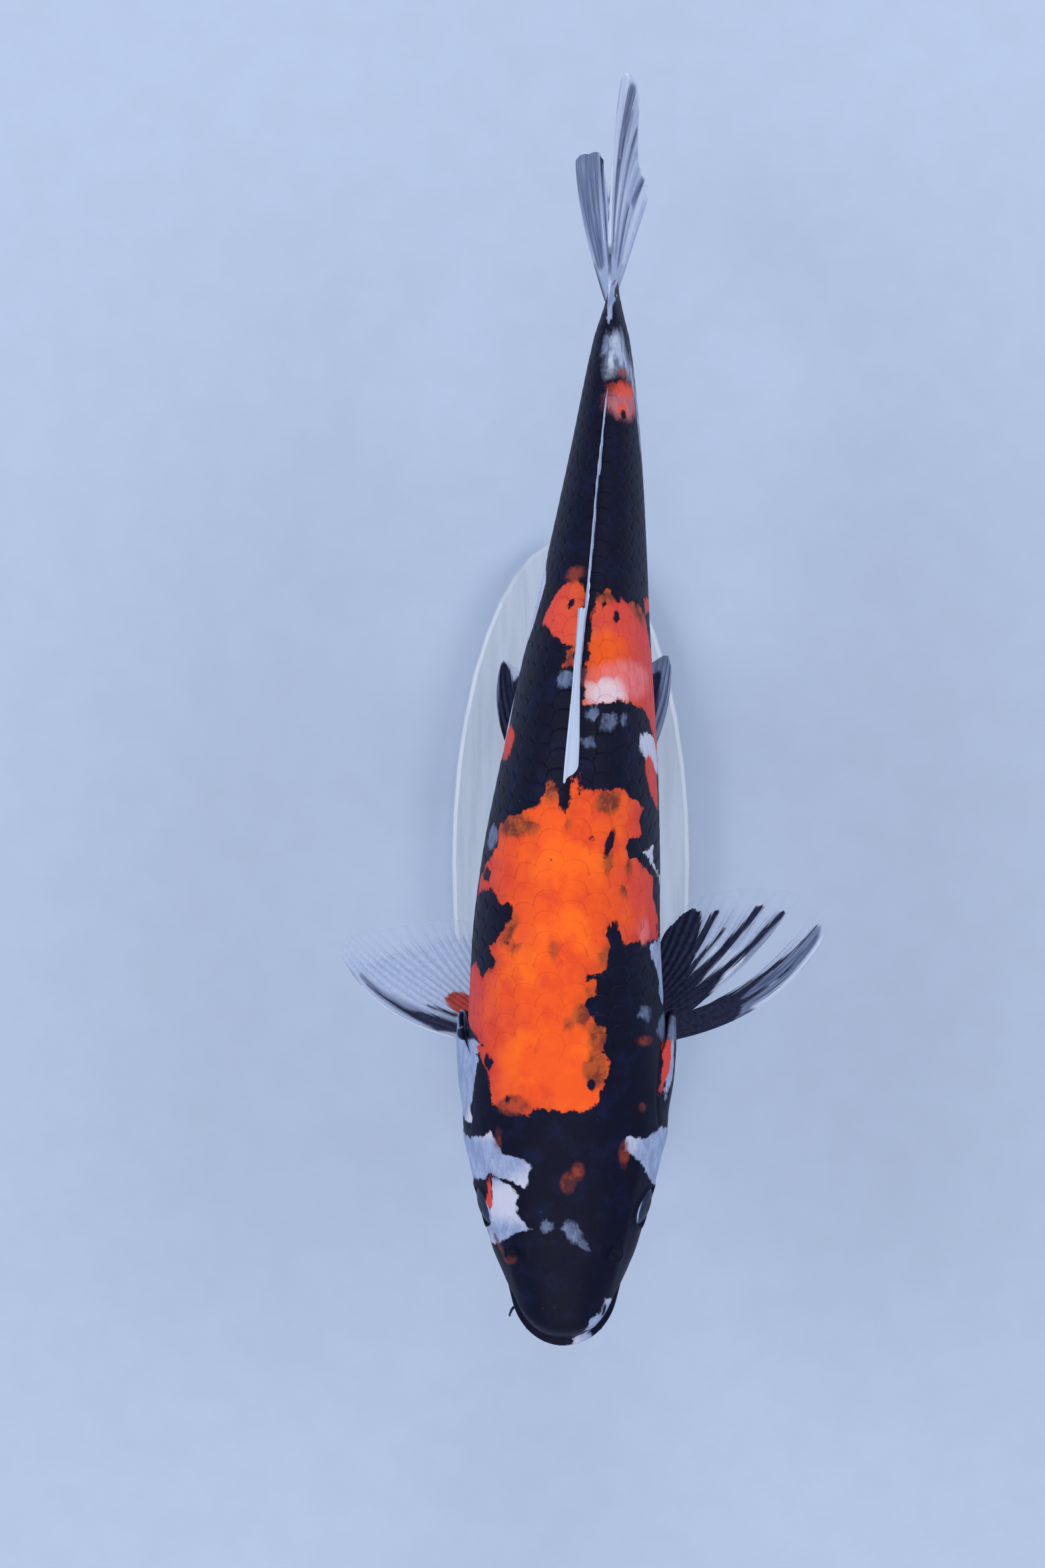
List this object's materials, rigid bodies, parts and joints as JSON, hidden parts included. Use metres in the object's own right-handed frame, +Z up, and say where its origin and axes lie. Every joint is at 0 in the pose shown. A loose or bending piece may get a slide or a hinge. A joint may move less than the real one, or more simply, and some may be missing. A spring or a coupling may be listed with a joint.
{
  "type": "koi carp display model",
  "caption": "Life-size koi carp, black, red and white, gliding with fins spread, held by two short rods over a plain oval base.",
  "frame": {"origin": "centre of the stand base's underside", "axes": "+Z up, +Y from snout to tail, +X towards the fish's left side"},
  "size_m": [0.1759, 0.4391, 0.1999],
  "materials": {
    "skin": "wet scaled skin, black with orange-red and white patches",
    "fin": "thin ribbed fin, bluish white with black streaks",
    "eye": "clear dome over a dark iris",
    "base": "pale satin lacquer",
    "rod": "brushed"
  },
  "bodies": {
    "root": {"head": "skin", "upper_lip": "skin", "lower_jaw": "skin", "trunk_front": "skin", "trunk_rear": "skin", "tail_stalk": "skin", "gill_cover_left": "skin", "gill_cover_right": "skin", "barbel_corner_left": "skin", "barbel_corner_right": "skin", "barbel_lip_left": "skin", "barbel_lip_right": "skin", "eye_left": "eye", "eye_right": "eye", "dorsal_fin": "fin", "tail_fin_upper": "fin", "tail_fin_lower": "fin", "anal_fin": "fin", "pectoral_fin_left": "fin", "pectoral_fin_right": "fin", "pelvic_fin_left": "fin", "pelvic_fin_right": "fin", "stand_base": "base", "stand_rod_front": "rod", "stand_rod_rear": "rod"}
  },
  "joints": []
}
